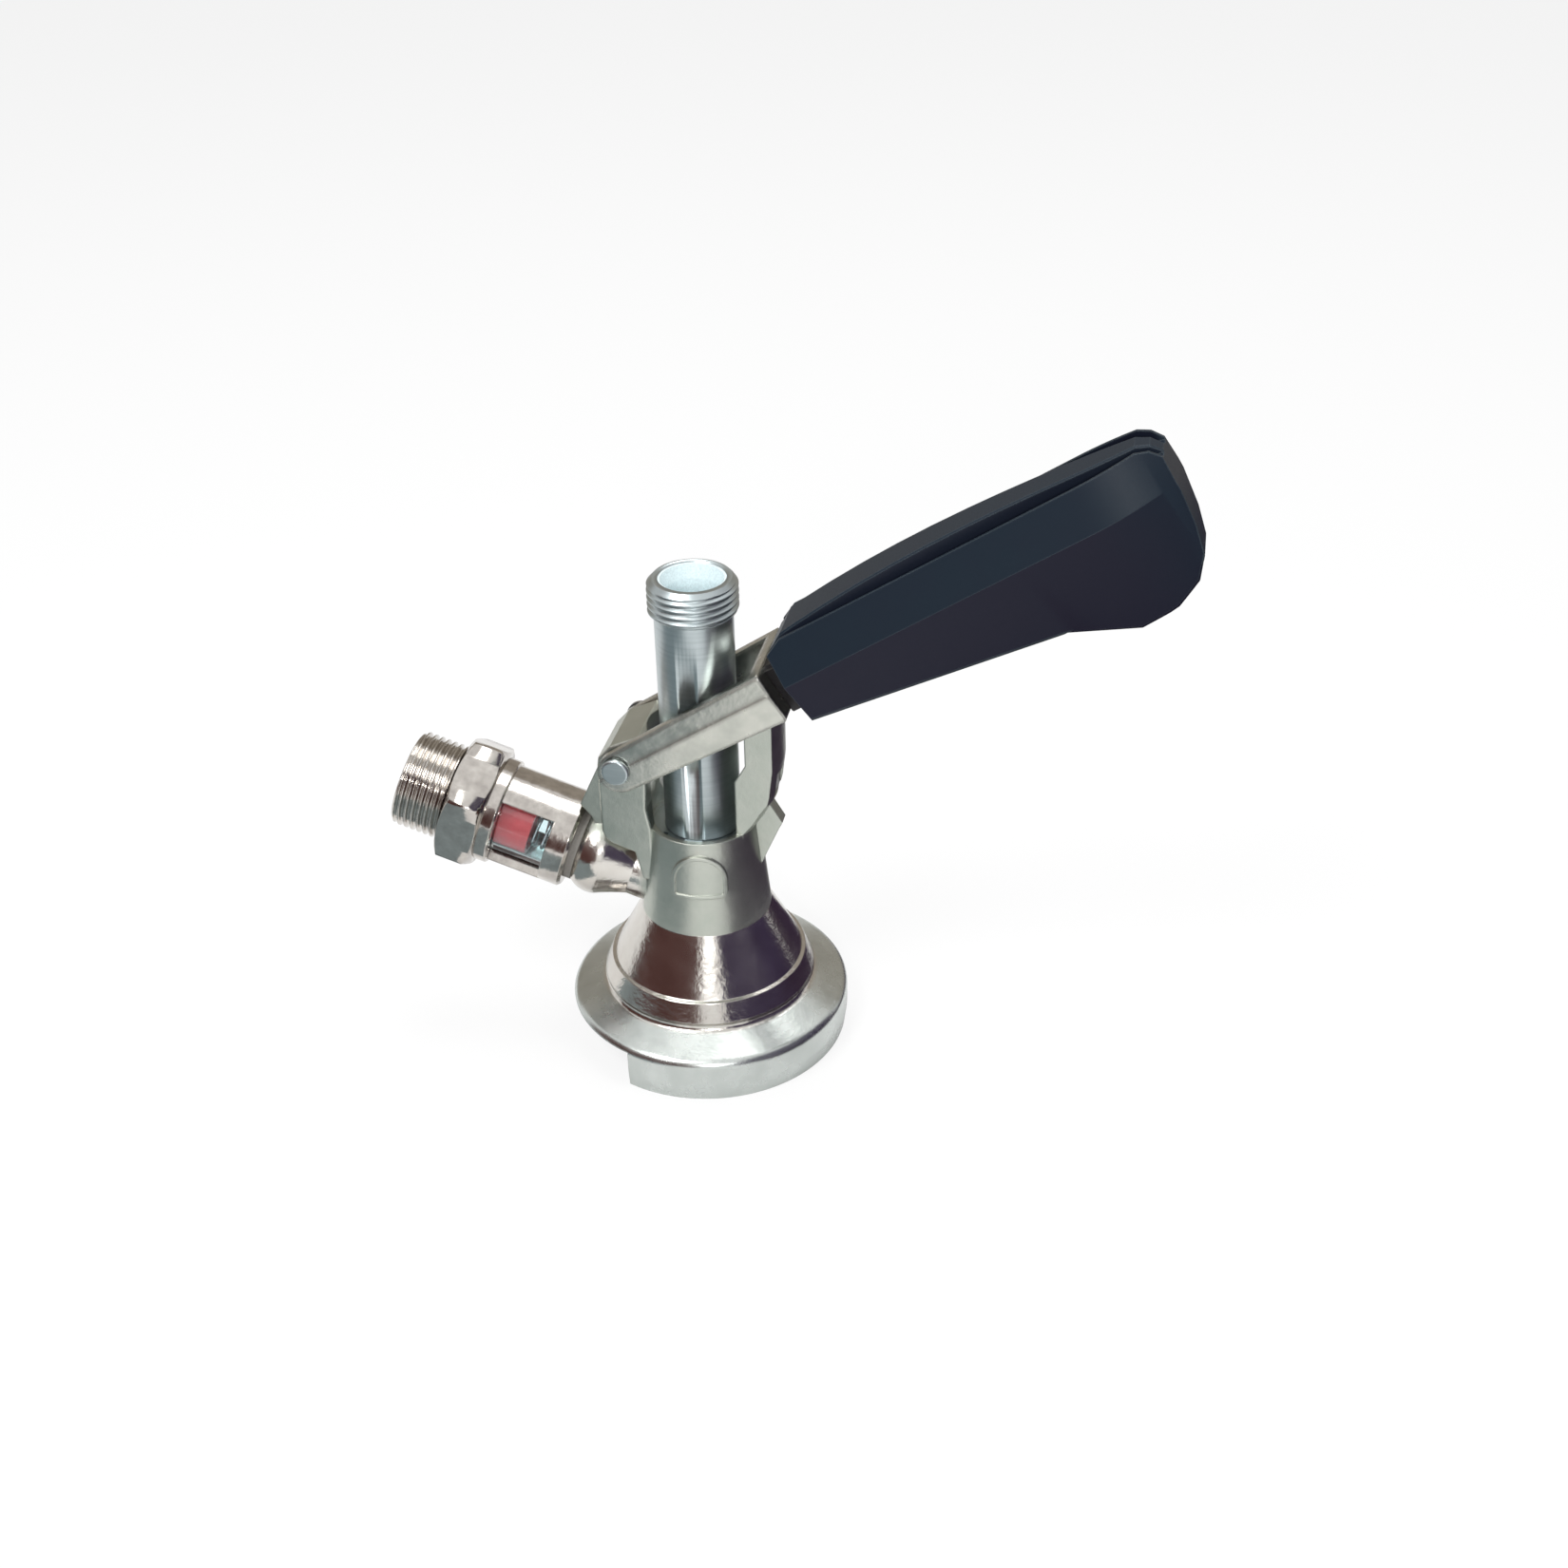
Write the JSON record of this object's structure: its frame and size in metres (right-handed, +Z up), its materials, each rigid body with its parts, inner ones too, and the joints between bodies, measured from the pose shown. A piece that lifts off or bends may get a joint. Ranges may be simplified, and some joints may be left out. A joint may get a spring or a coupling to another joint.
{
  "type": "keg coupler",
  "caption": "Lever keg coupler for flat keg fittings: side-sliding base, lever-driven beer tube, spring latch in the handle, and a gas branch with a sight-glass check valve",
  "frame": {"origin": "on the beer tube's axis, in the plane the skirt stands on", "axes": "+Z up along the beer tube, +X towards the handle, -X towards the gas branch and the open side of the keg slide; the XZ plane is the middle plane"},
  "size_m": [0.2073, 0.076, 0.1778],
  "materials": {
    "plated_casting": "satin plated casting",
    "plated_brass": "bright plated, turned",
    "stainless": "turned stainless steel",
    "spring_steel": "bright wire",
    "grip_plastic": "fine moulded texture",
    "black_plastic": "smooth",
    "black_rubber": "matt",
    "bearing_plastic": "smooth",
    "white_plastic": "smooth",
    "clear_plastic": "clear",
    "red_plastic": "smooth"
  },
  "bodies": {
    "main": {"body_casting": "plated_casting", "keg_seal": "black_rubber", "guide_bush": "bearing_plastic", "tube_seal": "black_rubber", "gland_nut": "stainless", "pivot_pin": "stainless", "pivot_clip": "spring_steel", "sight_cage": "plated_brass", "boss_gasket": "black_rubber", "sight_sleeve": "clear_plastic", "sleeve_seals": "black_rubber", "inlet_nipple": "plated_brass", "valve_spring": "spring_steel"},
    "lever": {"lever_fork": "plated_casting", "fork_collar": "black_plastic", "latch_spring": "spring_steel"},
    "latch": {"latch_rod": "stainless", "grip": "grip_plastic", "grip_screw": "spring_steel"},
    "probe": {"beer_tube": "stainless", "drive_pins": "stainless", "tip_seal": "black_rubber", "ball_seat": "white_plastic", "ball_retainer": "stainless", "outlet_insert": "white_plastic"},
    "ball": {"check_ball": "white_plastic"},
    "poppet": {"valve_poppet": "red_plastic", "poppet_seal": "black_rubber"}
  },
  "joints": [
    {"name": "lever_hinge", "type": "hinge", "parent": "main", "child": "lever", "pos_m": [-0.0188, 0, 0.0856], "axis": [0, 1, 0], "range_deg": [0, 38]},
    {"name": "latch_slide", "type": "slide", "parent": "lever", "child": "latch", "axis": [0.8387, 0, 0.5446], "range_m": [-0.004, 0], "deforming": ["latch_spring"]},
    {"name": "probe_slide", "type": "slide", "parent": "main", "child": "probe", "axis": [0, 0, -1], "range_m": [0, 0.01386]},
    {"name": "ball_lift", "type": "slide", "parent": "probe", "child": "ball", "axis": [0, 0, 1], "range_m": [0, 0.004]},
    {"name": "poppet_slide", "type": "slide", "parent": "main", "child": "poppet", "axis": [0.9494, 0, -0.314], "range_m": [0, 0.004], "stiffness_N_per_m": 400, "springref_m": -0.002, "deforming": ["valve_spring"]}
  ],
  "couplings": [
    {"joint": "probe_slide", "follows": "lever_hinge", "m_per_rad": 0.020888}
  ]
}
